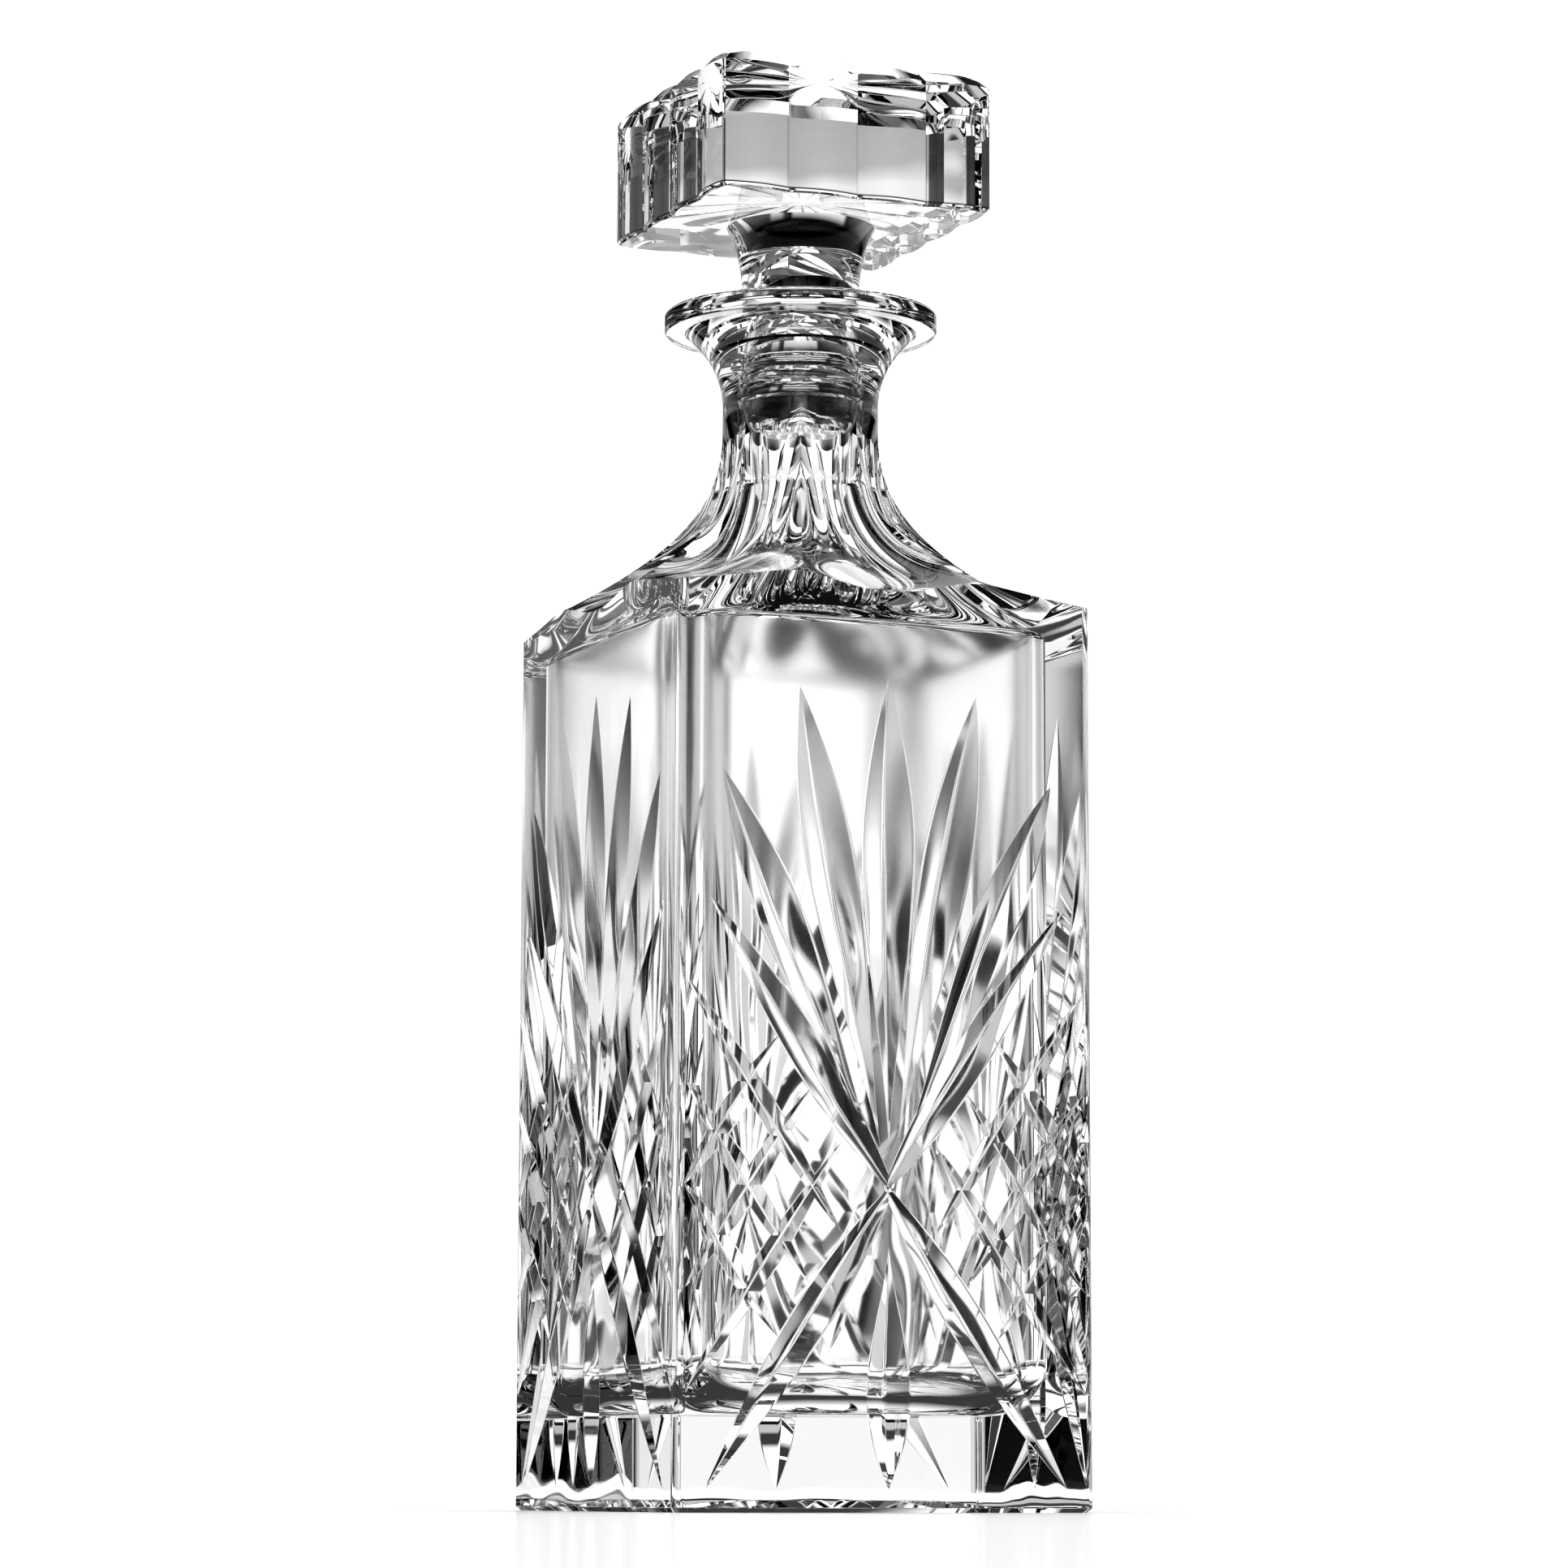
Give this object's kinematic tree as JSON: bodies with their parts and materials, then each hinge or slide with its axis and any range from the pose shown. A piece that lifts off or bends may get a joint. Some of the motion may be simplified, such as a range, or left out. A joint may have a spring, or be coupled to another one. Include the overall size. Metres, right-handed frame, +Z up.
{
  "type": "cut glass decanter",
  "caption": "Square cut-glass decanter with fluted shoulder, fan and diamond cutting on each face, and a square-headed glass stopper with a ribbed sealing sleeve.",
  "frame": {"origin": "middle of the base, on the surface that the decanter stands on", "axes": "+Z up along the neck, X and Y square to the four cut faces"},
  "size_m": [0.083, 0.083, 0.2714],
  "materials": {
    "body_crystal": "polished",
    "stopper_crystal": "polished",
    "clear_polymer": "satin"
  },
  "bodies": {
    "vessel": {"decanter_body": "body_crystal", "decanter_shoulder": "body_crystal", "decanter_neck": "body_crystal"},
    "sleeve": {"stopper_seal": "clear_polymer"},
    "stopper": {"stopper": "stopper_crystal"}
  },
  "joints": [
    {"name": "stopper_lift", "type": "slide", "parent": "vessel", "child": "sleeve", "axis": [0, 0, 1], "range_m": [0, 0.08]},
    {"name": "stopper_turn", "type": "hinge", "parent": "sleeve", "child": "stopper", "pos_m": [0, 0, 0.215], "axis": [0, 0, 1], "continuous": true}
  ]
}
